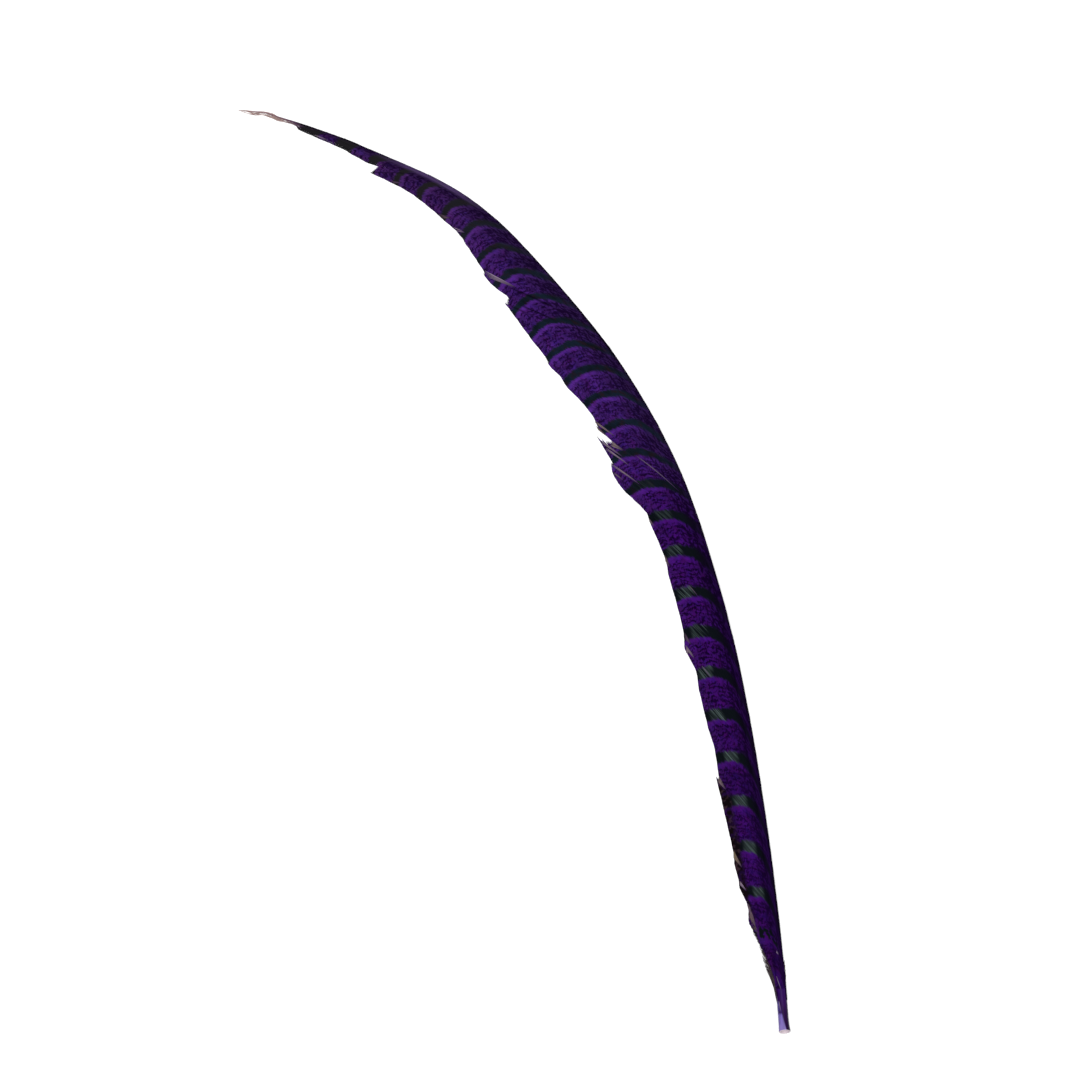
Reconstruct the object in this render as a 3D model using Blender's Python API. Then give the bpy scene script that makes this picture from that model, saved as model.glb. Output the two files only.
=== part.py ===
"""A pheasant's side tail feather, dyed purple, lying on a flat surface with its upper side up.

It grew as one piece: the quill, the shaft that the quill runs into, the broad vane, and the
narrow vane that is folded down beside the shaft. Both vanes are parted into locks of barbs.
Metres, +Z up. The lengths below are millimetres. A station is a distance along the shaft
from the cut end of the quill, and a profile lists (station, value) pairs.
"""

import math
import random

import bmesh
import bpy
import numpy as np

MM = 0.001

# The shaft: its direction seen from above, in degrees from +X, its thickness and its height
SHAFT_LENGTH = 556.0
SHAFT_DIRECTION = (
    (0, 93), (30, 96), (60, 96), (120, 99.5), (180, 101.5), (220, 107), (260, 110), (300, 119.5),
    (340, 126.5), (380, 130.5), (410, 133), (440, 146), (470, 157), (500, 158), (530, 159.5), (558, 176),
)
SHAFT_DIAMETER = ((0, 5.3), (30, 5.0), (90, 4.0), (200, 3.1), (350, 2.1), (480, 1.3), (556, 0.9))
SHAFT_AXIS_HEIGHT = (
    (0, 2.65), (30, 2.6), (90, 3.7), (170, 4.7), (260, 5.0), (360, 4.1), (450, 2.6), (520, 1.2), (556, 0.5),
)

# The shaft's section, anticlockwise seen from the quill: how far aside and how high each corner is,
# in radii. The undersides of the vanes hold on to corners 3 and 7, whose height follows their thickness
SHAFT_SECTION = (
    (-0.80, 0.60), (0.0, 1.0), (0.80, 0.60), (0.95, None),
    (0.70, -0.71), (0.0, -1.0), (-0.70, -0.71), (-0.95, None),
)
VANE_TOP_CORNER_HEIGHT = 0.60

# The quill: hollow and cut on a slant, so that the cut faces a little upwards
CUT_STATION = -0.8
CUT_SLANT = math.radians(28)
QUILL_WALL = 0.7
QUILL_BORE_DEPTH = 9.0
QUILL_RING_STATIONS = (4, 9)

# The locks, small bundles of barbs that cling together. Both vanes part at the same stations.
# Each lock is a little crowned across and pointed at the margin, and a gap at the margin parts it
# from the next. The gap shrinks, down to a least share of it, where the vane is narrower than a limit.
# A lock's width is read a little way in from its side
VANE_START = 14.0
VANE_END = 538.0
LOCK_COUNT = 57
LOCK_JITTER = 1.1
LOCK_CROWN = 0.35
LOCK_POINT = 0.5
LOCK_GAP = 1.1
LEAST_GAP_SHARE = 0.5
FULL_GAP_WIDTH = 4.0
LOCK_INSET = 0.5

# Places where the broad vane has split: (root station, share of the barb where the split starts,
# how wide it stands open at the margin, measured along the shaft)
SPLITS = (
    (97, 0.64, 1.8), (146, 0.78, 1.4), (200, 0.78, 1.4), (219, 0.64, 1.2), (239, 0.64, 2.0),
    (251, 0.78, 3.2), (280, 0.78, 1.4), (341, 0.78, 1.8), (357, 0.5, 1.6), (405, 0.78, 1.4), (464, 0.78, 3.0),
)

# The broad vane: how far forward a barb reaches for each millimetre sideways, where its tip lies
# beside the shaft, and the height of the vane's crown above the surface
BROAD_SWEEP = (
    (0, 1.6), (60, 1.7), (120, 1.8), (180, 2.0), (240, 2.2), (340, 2.3), (400, 2.5), (450, 2.9),
    (500, 3.6), (540, 5),
)
BROAD_WIDTH = (
    (14, 3.9), (18, 6.3), (22, 7.7), (26, 8.4), (31, 10.4), (36, 11.9), (43, 11.7), (47, 14.5),
    (59, 15.8), (64, 15.1), (77, 16.7), (96.8, 18.0), (97.2, 16.5), (113, 16.3), (121, 18.0),
    (145.8, 18.8), (146.2, 21.6), (152, 21.4), (162, 19.9), (186, 19.0), (199.8, 19.9), (200.2, 18.2),
    (218.8, 19.6), (219.2, 25.8), (223, 27.7), (238.8, 25.8), (250.8, 26.0), (251.2, 21.4),
    (257, 24.0), (266, 22.6), (279.8, 22.2), (280.2, 24.4), (293, 25.2), (302, 23.9), (311, 24.4),
    (340.8, 22.4), (341.2, 18.8), (347, 21.0), (356, 21.1), (382, 17.5), (404, 14.0), (433, 10.3),
    (463.8, 8.3), (464.2, 5.0), (473, 4.9), (494, 2.4), (512, 2.3), (538, 1.2),
)
CROWN_HEIGHT = (
    (14, 4.4), (26, 5.0), (60, 6.2), (150, 8.2), (240, 9.4), (340, 8.4), (420, 5.6), (480, 3.3), (538, 1.5),
)
CROWN_SHARE = 0.36
FLAT_MARGIN_SHARE = 0.1
FALL_POWER = 1.8
BROAD_ROWS = (0, 0.12, 0.24, 0.36, 0.5, 0.64, 0.78, 0.94, 1.0)

# The narrow vane, folded down to the surface on the other side of the shaft, where its margin stands
NARROW_SWEEP = 9.0
NARROW_REACH = (
    (14, 2.7), (60, 2.5), (100, 2.1), (150, 2.4), (210, 2.1), (345, 2.3), (400, 1.9), (450, 1.5), (538, 1.0),
)
NARROW_ROWS = (0, 0.4, 0.75, 1.0)

# The vanes' thickness: at the root by the shaft's size, and at the margin
ROOT_SHARE_OF_RADIUS = 0.4
MARGIN_THICKNESS = 0.55
LEAST_ROOT_THICKNESS = 0.4

# The step along a barb, as a share of it, over which its slope is read
SLOPE_STEP = 0.02

# Edges that turn more than this are shaded sharp
SHARP_ANGLE = math.radians(40)


def at(profile, station):
    """The value of a profile at a station."""
    stations, values = zip(*profile)
    return float(np.interp(station, stations, values))


def shaft_route():
    """Points along the shaft every millimetre, seen from above: stations, x, y and directions."""
    stations = np.arange(0.0, SHAFT_LENGTH + 30.0)
    directions = np.radians([at(SHAFT_DIRECTION, s) for s in stations])
    between = (directions[1:] + directions[:-1]) / 2
    x = np.concatenate([[0.0], np.cumsum(np.cos(between))])
    y = np.concatenate([[0.0], np.cumsum(np.sin(between))])
    return stations, x, y, directions


ROUTE = shaft_route()


def beside_shaft(station, aside, height):
    """The place that lies aside to the left of the shaft at a station, at a height."""
    stations, xs, ys, directions = ROUTE
    if station < 0:
        return (xs[0] + station * math.cos(directions[0]) - aside * math.sin(directions[0]),
                station * math.sin(directions[0]) + aside * math.cos(directions[0]), height)
    x, y, turn = (float(np.interp(station, stations, values)) for values in (xs, ys, directions))
    return x - aside * math.sin(turn), y + aside * math.cos(turn), height


def vertex(bm, station, aside, height):
    """A new vertex beside the shaft, in metres."""
    return bm.verts.new([MM * value for value in beside_shaft(station, aside, height)])


def root_thickness(station):
    """How thick a vane is where it leaves the shaft."""
    return max(ROOT_SHARE_OF_RADIUS * at(SHAFT_DIAMETER, station) / 2, LEAST_ROOT_THICKNESS)


def ring_outline(station):
    """The shaft's section at a station as eight (aside, height) points.

    The vanes grow from its upper corners: points 2 and 3 hold the broad vane, 0 and 7 the narrow one.
    """
    radius = at(SHAFT_DIAMETER, station) / 2
    underside = VANE_TOP_CORNER_HEIGHT * radius - root_thickness(station)
    axis = at(SHAFT_AXIS_HEIGHT, station)
    return [
        (across * radius, axis + (underside if up is None else up * radius))
        for across, up in SHAFT_SECTION
    ]


def shaft_ring(bm, station, slant=0.0):
    """The shaft's ring of vertices at a station, leaning back at the top by a slant."""
    axis = at(SHAFT_AXIS_HEIGHT, station)
    return [
        vertex(bm, station + (up - axis) * math.tan(slant), across, up)
        for across, up in ring_outline(station)
    ]


def crown_curve(share, start, crown):
    """Height of a broad barb: up from the shaft to the crown, then down to the flat margin."""
    if share < CROWN_SHARE:
        return crown - (crown - start) * (1 - share / CROWN_SHARE) ** 2
    down = min(1.0, (share - CROWN_SHARE) / (1 - CROWN_SHARE - FLAT_MARGIN_SHARE))
    wave = (1 - math.cos(math.pi * down)) / 2
    fall = (wave + down ** FALL_POWER) / 2
    return crown - (crown - MARGIN_THICKNESS) * fall


def broad_point(root, share, tip_aside):
    """(station, aside, height) on the upper face of the broad vane, along the barb from a root."""
    start_aside, start_height = ring_outline(root)[2]
    aside = start_aside + (tip_aside - start_aside) * share
    station = root + at(BROAD_SWEEP, root) * (tip_aside - start_aside) * share
    return station, aside, crown_curve(share, start_height, at(CROWN_HEIGHT, root))


def narrow_point(root, share, tip_aside):
    """The same for the narrow vane, which drops steeply to the surface and ends upright on it."""
    start_aside, start_height = ring_outline(root)[0]
    aside = start_aside + (tip_aside - start_aside) * math.sin(math.pi / 2 * share)
    height = start_height * math.cos(math.pi / 2 * share)
    return root + NARROW_SWEEP * share, aside, height


def below(point, root, share, tip_aside, place):
    """The place under a point on a vane's upper face, a vane's thickness away, or on the surface.

    Heights are rounded to a millionth of a millimetre, so that what lies on the surface lies exactly on it.
    """
    step = SLOPE_STEP if share < 0.5 else -SLOPE_STEP
    _, near_aside, near_height = point(root, share + step, tip_aside)
    station, aside, height = place
    run, rise = near_aside - aside, near_height - height
    length = math.hypot(run, rise)
    across, up = -rise / length, run / length
    if up < 0:
        across, up = -across, -up
    way = min(1.0, share / (1 - FLAT_MARGIN_SHARE))
    thickness = root_thickness(root) + (MARGIN_THICKNESS - root_thickness(root)) * way
    return station, aside - across * thickness, max(0.0, round(height - up * thickness, 6))


class Vane:
    """What the two vanes differ in: their curve, their rows, where they part and where they hold on."""

    def __init__(self, point, rows, parted_row, top_corner, low_corner, width):
        self.point = point
        self.rows = rows
        self.parted_row = parted_row
        self.top_corner = top_corner
        self.low_corner = low_corner
        self.width = width


BROAD = Vane(broad_point, BROAD_ROWS, -3, 2, 3, lambda root: at(BROAD_WIDTH, root))
NARROW = Vane(narrow_point, NARROW_ROWS, -2, 0, 7, lambda root: -at(NARROW_REACH, root))


def barb_column(bm, vane, ring, root, inside, crown, opening, shared):
    """A row of (top, bottom) vertex pairs along one barb, from the shaft's ring to the margin.

    inside is a station just within the lock, where its width is read. crown lifts the middle of a lock.
    opening is (share where the split starts, how far the tip is pushed along the shaft). shared
    holds the pairs that this barb has in common with its neighbour across the split.
    """
    pairs = list(shared) or [(ring[vane.top_corner], ring[vane.low_corner])]
    tip_aside = vane.width(inside) + math.copysign(LOCK_POINT * crown / LOCK_CROWN, vane.width(inside))
    split_from, push = opening
    for share in vane.rows[len(pairs):]:
        place = vane.point(root, share, tip_aside)
        low = below(vane.point, root, share, tip_aside, place)
        lift = crown * math.sin(math.pi * share)
        low_lift = lift if share < 1 - FLAT_MARGIN_SHARE else 0.0
        shift = push * max(0.0, share - split_from) / (1 - split_from)
        pairs.append((
            vertex(bm, place[0] + shift, place[1], place[2] + lift),
            vertex(bm, low[0] + shift, low[1], low[2] + low_lift),
        ))
    return pairs


def join_columns(bm, first, second):
    """The faces of a vane between two barb columns: upper, lower and margin."""
    for row in range(len(first) - 1):
        for layer in (0, 1):
            near, far = first[row][layer], first[row + 1][layer]
            bm.faces.new((near, far, second[row + 1][layer], second[row][layer]))
    bm.faces.new((first[-1][0], first[-1][1], second[-1][1], second[-1][0]))


def close_side(bm, pairs, first_row):
    """The side wall of a lock, from the row where the split starts to the margin."""
    for row in range(first_row, len(pairs) - 1):
        bm.faces.new((pairs[row][0], pairs[row + 1][0], pairs[row + 1][1], pairs[row][1]))


def lock_stations():
    """The stations where the locks meet, evenly spread and a little uneven, with the splits in place."""
    chance = random.Random(5)
    pitch = (VANE_END - VANE_START) / LOCK_COUNT
    stations = [VANE_START + pitch * i for i in range(LOCK_COUNT + 1)]
    for i in range(1, LOCK_COUNT):
        stations[i] += chance.uniform(-LOCK_JITTER, LOCK_JITTER)
    for root, _, _ in SPLITS:
        nearest = min(range(1, LOCK_COUNT), key=lambda i: abs(stations[i] - root))
        stations[nearest] = float(root)
    return stations


def opening_at(station, vane):
    """(share where the vane is parted, width of the gap at the margin) where two locks meet."""
    if vane is BROAD:
        for root, share, gap in SPLITS:
            if root == station:
                return share, gap
    narrowing = min(1.0, abs(vane.width(station)) / FULL_GAP_WIDTH)
    return vane.rows[vane.parted_row], LOCK_GAP * max(narrowing, LEAST_GAP_SHARE)


def grow_vane(bm, vane, stations, rings):
    """All locks of one vane, from the first to the last station."""
    before = ()
    for lock, (start, end) in enumerate(zip(stations, stations[1:])):
        middle = (start + end) / 2
        first_open, last_open = opening_at(start, vane), opening_at(end, vane)
        first_row = vane.rows.index(first_open[0]) if lock else 0
        shared = before[: first_row + 1] if lock else ()
        first = barb_column(
            bm, vane, rings[start], start, start + LOCK_INSET, 0.0,
            (first_open[0], first_open[1] / 2), shared,
        )
        centre = barb_column(bm, vane, rings[middle], middle, middle, LOCK_CROWN, (0.0, 0.0), ())
        last = barb_column(
            bm, vane, rings[end], end, end - LOCK_INSET, 0.0,
            (last_open[0], -last_open[1] / 2), (),
        )
        join_columns(bm, first, centre)
        join_columns(bm, centre, last)
        close_side(bm, first, first_row)
        if before:
            close_side(bm, before, first_row)
        before = last
    close_side(bm, before, 0)


def grow_shaft(bm, rings, stations):
    """The faces of the shaft between its rings, left open where the vanes hold on."""
    order = sorted(rings)
    corners = len(SHAFT_SECTION)
    for start, end in zip(order, order[1:]):
        vaned = stations[0] <= start < stations[-1]
        near, far = rings[start], rings[end]
        for corner in range(corners):
            following = (corner + 1) % corners
            if vaned and {corner, following} in ({2, 3}, {7, 0}):
                continue
            bm.faces.new((near[corner], near[following], far[following], far[corner]))
    bm.faces.new(rings[order[-1]])


def open_quill(bm, ring):
    """The cut end of the quill: a rim around the mouth of its bore."""
    cut = bm.faces.new(ring)
    bm.normal_update()
    bmesh.ops.inset_region(bm, faces=[cut], thickness=QUILL_WALL * MM)
    deeper = bmesh.ops.extrude_face_region(bm, geom=[cut])
    inner = [item for item in deeper["geom"] if isinstance(item, bmesh.types.BMVert)]
    bottom = beside_shaft(QUILL_BORE_DEPTH, 0, 0)
    bmesh.ops.translate(bm, verts=inner, vec=[MM * value for value in bottom])
    bmesh.ops.delete(bm, geom=[cut], context="FACES")


def stand_on_origin(bm):
    """The origin goes to the middle of the feather's bounding box, on the surface it lies on."""
    places = np.array([v.co for v in bm.verts])
    low, high = places.min(axis=0), places.max(axis=0)
    middle = ((low[0] + high[0]) / 2, (low[1] + high[1]) / 2, low[2])
    bmesh.ops.translate(bm, verts=bm.verts, vec=[-value for value in middle])
    return middle


def feather_mesh():
    """The whole feather as one closed mesh."""
    bm = bmesh.new()
    stations = lock_stations()
    middles = [(start + end) / 2 for start, end in zip(stations, stations[1:])]
    rings = {CUT_STATION: shaft_ring(bm, CUT_STATION, CUT_SLANT)}
    for station in (*QUILL_RING_STATIONS, *stations, *middles, SHAFT_LENGTH):
        rings[station] = shaft_ring(bm, station)
    grow_shaft(bm, rings, stations)
    grow_vane(bm, BROAD, stations, rings)
    grow_vane(bm, NARROW, stations, rings)
    open_quill(bm, rings[CUT_STATION])
    bmesh.ops.recalc_face_normals(bm, faces=bm.faces)
    middle = stand_on_origin(bm)
    print("cut end of the quill at", [round(-value, 6) for value in middle])
    mesh = bpy.data.meshes.new("tail_feather")
    bm.to_mesh(mesh)
    bm.free()
    mesh.shade_smooth()
    mesh.set_sharp_from_angle(angle=SHARP_ANGLE)
    return mesh


def dyed_feather_material():
    """Purple dye over barred brown barbs, with a satin gloss."""
    material = bpy.data.materials.new("dyed_feather")
    material.use_nodes = True
    shader = material.node_tree.nodes["Principled BSDF"]
    shader.inputs["Base Color"].default_value = (0.034, 0.006, 0.105, 1)
    shader.inputs["Roughness"].default_value = 0.55
    shader.inputs["Metallic"].default_value = 0.0
    return material


def build():
    for item in list(bpy.data.objects):
        bpy.data.objects.remove(item)
    feather = bpy.data.objects.new("tail_feather", feather_mesh())
    feather.data.materials.append(dyed_feather_material())
    bpy.context.scene.collection.objects.link(feather)


build()
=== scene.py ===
# %% [markdown]
# # A dyed pheasant tail feather, barb by barb
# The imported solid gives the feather's real size, its curve, its arched vanes and the tufts that they
# part into. This lesson dresses it: a horny shaft cut at the quill, over a thousand barbs, the barbs
# that took little dye, the wisps at the tip and the down at the base. All of it rides on the one body
# that the feather is, and replaces the plain solid.

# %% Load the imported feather
import math
import random

import bpy
import numpy as np
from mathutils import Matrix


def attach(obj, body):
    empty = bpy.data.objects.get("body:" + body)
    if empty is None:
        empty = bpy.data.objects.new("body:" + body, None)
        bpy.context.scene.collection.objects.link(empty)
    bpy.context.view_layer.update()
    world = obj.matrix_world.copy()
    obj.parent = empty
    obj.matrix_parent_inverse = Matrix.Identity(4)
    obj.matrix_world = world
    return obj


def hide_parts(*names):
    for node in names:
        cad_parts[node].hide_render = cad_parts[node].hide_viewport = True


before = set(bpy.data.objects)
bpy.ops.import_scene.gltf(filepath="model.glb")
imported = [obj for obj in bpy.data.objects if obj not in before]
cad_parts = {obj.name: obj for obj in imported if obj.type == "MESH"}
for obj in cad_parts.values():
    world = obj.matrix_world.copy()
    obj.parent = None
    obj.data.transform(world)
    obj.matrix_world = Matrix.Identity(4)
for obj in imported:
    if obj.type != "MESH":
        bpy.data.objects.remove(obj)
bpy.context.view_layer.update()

MM = 0.001

# %% [markdown]
# ## The line of the shaft
# Everything on a feather is placed by its shaft. A place is given as a *station*, the way along the
# shaft from the cut end of the quill, and as how far it lies *aside*, to the left of the shaft. The
# shaft's own line could be drawn as a curve object, but every barb has to be laid beside it, so it is
# kept as the direction that it points in, and summed up in steps of a millimetre.

# %% Sum up the shaft's line
SHAFT_LENGTH = 556.0
CUT_END = (128.975, -219.207)
SHAFT_DIRECTION = (
    (0, 93), (30, 96), (60, 96), (120, 99.5), (180, 101.5), (220, 107), (260, 110), (300, 119.5),
    (340, 126.5), (380, 130.5), (410, 133), (440, 146), (470, 157), (500, 158), (530, 159.5), (558, 176),
)


def between(table, at):
    """The values of a table of (place, value) pairs at some places, straight between its pairs."""
    places, values = zip(*table)
    return np.interp(at, places, values)


stations = np.arange(0.0, SHAFT_LENGTH + 60)
directions = np.radians(between(SHAFT_DIRECTION, stations))
steps = (directions[1:] + directions[:-1]) / 2
line_x = CUT_END[0] + np.concatenate([[0.0], np.cumsum(np.cos(steps))])
line_y = CUT_END[1] + np.concatenate([[0.0], np.cumsum(np.sin(steps))])


def beside_shaft(station, aside, height):
    """Points in millimetres, aside to the left of the shaft at some stations and heights."""
    turn = np.interp(station, stations, directions)
    behind = np.minimum(station, 0.0)
    x = np.interp(station, stations, line_x) + behind * math.cos(directions[0]) - aside * np.sin(turn)
    y = np.interp(station, stations, line_y) + behind * math.sin(directions[0]) + aside * np.cos(turn)
    return np.stack(np.broadcast_arrays(x, y, height), -1)


print("Tip of the shaft, mm:", beside_shaft(SHAFT_LENGTH, 0, 0).round(1))

# %% [markdown]
# ## The shaft
# The shaft is one horny rod: the bare hollow quill, then the rachis that thins out to a hair at the
# tip. It could be a cylinder bent by a curve modifier, but a tube drawn along a poly curve takes the
# thickness of each of its points, so it follows the real taper. The tube is made a mesh, cut on the
# slant with bisect, and the cut face is inset and pushed in for the quill's bore.

# %% Thickness and height of the shaft
SHAFT_DIAMETER = (
    (-1.5, 5.6), (0, 5.3), (3, 4.9), (30, 4.8), (90, 3.9), (200, 3.0), (350, 2.0), (480, 1.3),
    (520, 0.95), (556, 0.24),
)
SHAFT_AXIS_HEIGHT = (
    (-1.5, 2.82), (0, 2.67), (3, 2.47), (30, 2.42), (90, 3.7), (170, 4.7), (260, 5.0), (360, 4.1),
    (450, 2.6), (520, 1.2), (556, 0.4),
)
SHAFT_ASIDE = (
    (-1.5, -0.1), (0, 0.0), (5, 0.2), (16, 0.25), (40, 0.35), (110, 0.45), (160, 0.3), (230, 0.2),
    (350, 0.15), (480, 0.05), (500, 0.0), (520, -0.3), (538, -0.2), (545, -0.9), (550, -0.4), (556, -0.4),
)
SHAFT_STEP = 3.0
CUT_STATION = -1.3
WELD = 1e-6


def select_only(piece):
    """Selects one piece and makes it active, with every other piece left alone."""
    bpy.ops.object.select_all(action="DESELECT")
    piece.select_set(True)
    bpy.context.view_layer.objects.active = piece


def strands(name, lines, roundness=1):
    """A mesh of strands, four-sided at roundness 0. Each line is (points in mm, radii in mm)."""
    drawing = bpy.data.curves.new(name, "CURVE")
    drawing.dimensions = "3D"
    drawing.bevel_depth = MM
    drawing.bevel_resolution = roundness
    drawing.use_fill_caps = True
    for points, radii in lines:
        spline = drawing.splines.new("POLY")
        spline.points.add(len(points) - 1)
        for point, place, radius in zip(spline.points, points, radii):
            point.co = (*(place * MM), 1)
            point.radius = radius
    piece = bpy.data.objects.new(name, drawing)
    bpy.context.collection.objects.link(piece)
    select_only(piece)
    bpy.ops.object.convert(target="MESH")
    bpy.ops.object.mode_set(mode="EDIT")
    bpy.ops.mesh.select_all(action="SELECT")
    bpy.ops.mesh.remove_doubles(threshold=WELD)
    bpy.ops.object.mode_set(mode="OBJECT")
    return bpy.context.object


shaft_stations = np.arange(CUT_STATION - SHAFT_STEP, SHAFT_LENGTH + 0.1, SHAFT_STEP)
shaft_points = beside_shaft(
    shaft_stations, between(SHAFT_ASIDE, shaft_stations), between(SHAFT_AXIS_HEIGHT, shaft_stations),
)
shaft = strands("shaft", [(shaft_points, between(SHAFT_DIAMETER, shaft_stations) / 2)], roundness=3)
print("Shaft:", len(shaft.data.polygons), "faces")

# %% Cut the quill on the slant and open its bore
CUT_SLANT = math.radians(28)
QUILL_WALL = 0.62
BORE_DEPTH = 2.2
SMOOTH_BELOW = math.radians(40)

cut_centre = beside_shaft(CUT_STATION, SHAFT_ASIDE[0][1], SHAFT_AXIS_HEIGHT[0][1])
ahead = np.array([math.cos(directions[0]), math.sin(directions[0]), 0.0])
cut_normal = ahead * math.cos(CUT_SLANT) - np.array([0, 0, math.sin(CUT_SLANT)])
select_only(shaft)
bpy.ops.object.mode_set(mode="EDIT")
bpy.ops.mesh.select_all(action="SELECT")
bpy.ops.mesh.bisect(plane_co=cut_centre * MM, plane_no=cut_normal, use_fill=True, clear_inner=True)
bpy.ops.mesh.select_all(action="DESELECT")
bpy.ops.object.mode_set(mode="OBJECT")
cut_face = min(shaft.data.polygons, key=lambda face: face.normal.dot(cut_normal))
cut_face.select = True
bpy.ops.object.mode_set(mode="EDIT")
bpy.ops.mesh.select_mode(type="FACE")
bpy.ops.mesh.inset(thickness=QUILL_WALL * MM)
bpy.ops.mesh.extrude_region_move(TRANSFORM_OT_translate={"value": ahead * BORE_DEPTH * MM})
bpy.ops.object.mode_set(mode="OBJECT")
bpy.ops.object.shade_smooth_by_angle(angle=SMOOTH_BELOW)
print("Cut face of", len(cut_face.vertices), "corners, bore", BORE_DEPTH, "mm deep")


# %% Measure the shaft for its dye
def give(piece, name, columns):
    """Stores up to three numbers for each vertex of a piece, for its material to read."""
    values = np.stack([np.broadcast_to(c, columns[0].shape) for c in columns], -1)
    layer = piece.data.attributes.new(name, "FLOAT_VECTOR", "POINT")
    layer.data.foreach_set("vector", values.astype(np.float32).ravel())


def measure(piece):
    """Where a piece's vertices are: points in millimetres, stations, and how far aside."""
    points = np.zeros(len(piece.data.vertices) * 3)
    piece.data.vertices.foreach_get("co", points)
    points = points.reshape(-1, 3) / MM
    apart = (points[:, :1] - line_x) ** 2 + (points[:, 1:2] - line_y) ** 2
    nearest = apart.argmin(1)
    away_x, away_y = points[:, 0] - line_x[nearest], points[:, 1] - line_y[nearest]
    cosine, sine = np.cos(directions[nearest]), np.sin(directions[nearest])
    return points, stations[nearest] + away_x * cosine + away_y * sine, away_y * cosine - away_x * sine


points, shaft_station, aside = measure(shaft)
shaft_radius = between(SHAFT_DIAMETER, shaft_station) / 2
off_axis = aside - between(SHAFT_ASIDE, shaft_station)
above_axis = points[:, 2] - between(SHAFT_AXIS_HEIGHT, shaft_station)
in_bore = np.hypot(off_axis, above_axis) < shaft_radius - QUILL_WALL / 2
depth_in_cut = np.where(in_bore, 0.0, (points - cut_centre) @ cut_normal)
give(shaft, "on_shaft", [shaft_station, off_axis / shaft_radius, depth_in_cut])

# %% [markdown]
# ## Locks of barbs
# The vanes of a worn feather part into locks: the barbs inside a lock cling together by their hooks,
# and a lock's neighbours may part from it. The solid has 57 locks on each side. The same uneven
# stations are drawn here again, so that each lock of barbs lies where the solid has it.

# %% Where the locks meet
VANE_START = 14.0
VANE_END = 538.0
LOCK_COUNT = 57
LOCK_JITTER = 1.1
SPLITS = (
    # station of the root, share of the barb from which the locks part, gap in millimetres at the margin
    (97, 0.64, 0.5), (146, 0.78, 0.4), (200, 0.78, 0.2), (219, 0.64, 0.4), (239, 0.64, 0.4),
    (251, 0.78, 0.6), (280, 0.78, 0.3), (341, 0.78, 0.3), (357, 0.5, 0.2), (405, 0.78, 0.3),
    (464, 0.78, 0.5),
)

chance = random.Random(5)
pitch = (VANE_END - VANE_START) / LOCK_COUNT
locks = [VANE_START + pitch * i for i in range(LOCK_COUNT + 1)]
for i in range(1, LOCK_COUNT):
    locks[i] += chance.uniform(-LOCK_JITTER, LOCK_JITTER)
for split_root, _, _ in SPLITS:
    closest = min(range(1, LOCK_COUNT), key=lambda i: abs(locks[i] - split_root))
    locks[closest] = float(split_root)
locks = np.array(locks)
print("Locks:", LOCK_COUNT, "of about", round(pitch, 1), "mm")

# %% How far each lock is parted from the next
ORDINARY_PARTING = (0.93, 0.0, 0.08)  # from this share of a barb, least and most gap

scatter = np.random.default_rng(11)
parted_from = np.full(LOCK_COUNT + 1, ORDINARY_PARTING[0])
parted_by = scatter.uniform(*ORDINARY_PARTING[1:], LOCK_COUNT + 1)
for split_root, share, gap in SPLITS:
    there = locks == split_root
    parted_from[there] = share
    parted_by[there] = gap
print("Real splits:", len(SPLITS))

# %% [markdown]
# ## One barb
# A barb is a thin ramus with a fringe of barbules on both sides, hooked into its neighbours', so it
# looks like a narrow ribbon with a ridge down its middle. A particle system would grow such barbs in
# no time, but particles don't belong to the mesh. One barb is modelled here instead: a four-sided
# cylinder lying along X, a diamond in section, cut into short stretches so that it can bend.

# %% Model one barb
BROAD_CUTS = 22
NARROW_CUTS = 5


def barb_pattern(name, cuts):
    """A barb one unit long and wide, as (points, faces), cut across so many times."""
    bpy.ops.object.select_all(action="DESELECT")
    bpy.ops.mesh.primitive_cylinder_add(
        vertices=4, radius=1, depth=1, location=(0.5, 0, 0), rotation=(0, math.pi / 2, 0),
    )
    barb = bpy.context.object
    bpy.ops.object.transform_apply(location=True, rotation=True, scale=True)
    points = [vertex.co.copy() for vertex in barb.data.vertices]
    bpy.ops.object.mode_set(mode="EDIT")
    bpy.ops.mesh.select_all(action="DESELECT")
    bpy.ops.mesh.select_mode(type="EDGE")
    bpy.ops.object.mode_set(mode="OBJECT")
    for edge in barb.data.edges:
        first, last = edge.vertices
        edge.select = abs(points[first].x - points[last].x) > 0.5
    bpy.ops.object.mode_set(mode="EDIT")
    bpy.ops.mesh.subdivide(number_cuts=cuts)
    bpy.ops.object.mode_set(mode="OBJECT")
    corners = np.array([vertex.co for vertex in barb.data.vertices])
    faces = np.array([face.vertices for face in barb.data.polygons])
    bpy.data.objects.remove(barb)
    print(name, "barb:", len(corners), "points,", len(faces), "faces")
    return corners, faces


broad_barb = barb_pattern("Broad vane's", BROAD_CUTS)
narrow_barb = barb_pattern("Narrow vane's", NARROW_CUTS)


# %% Lay copies of a barb along lines
LINE_STEP = 0.01
ROOT_STEP = 0.5
LEAST_HEIGHT = 0.02


def unit(vectors):
    """Vectors made one long."""
    return vectors / np.linalg.norm(vectors, axis=-1, keepdims=True)


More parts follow.
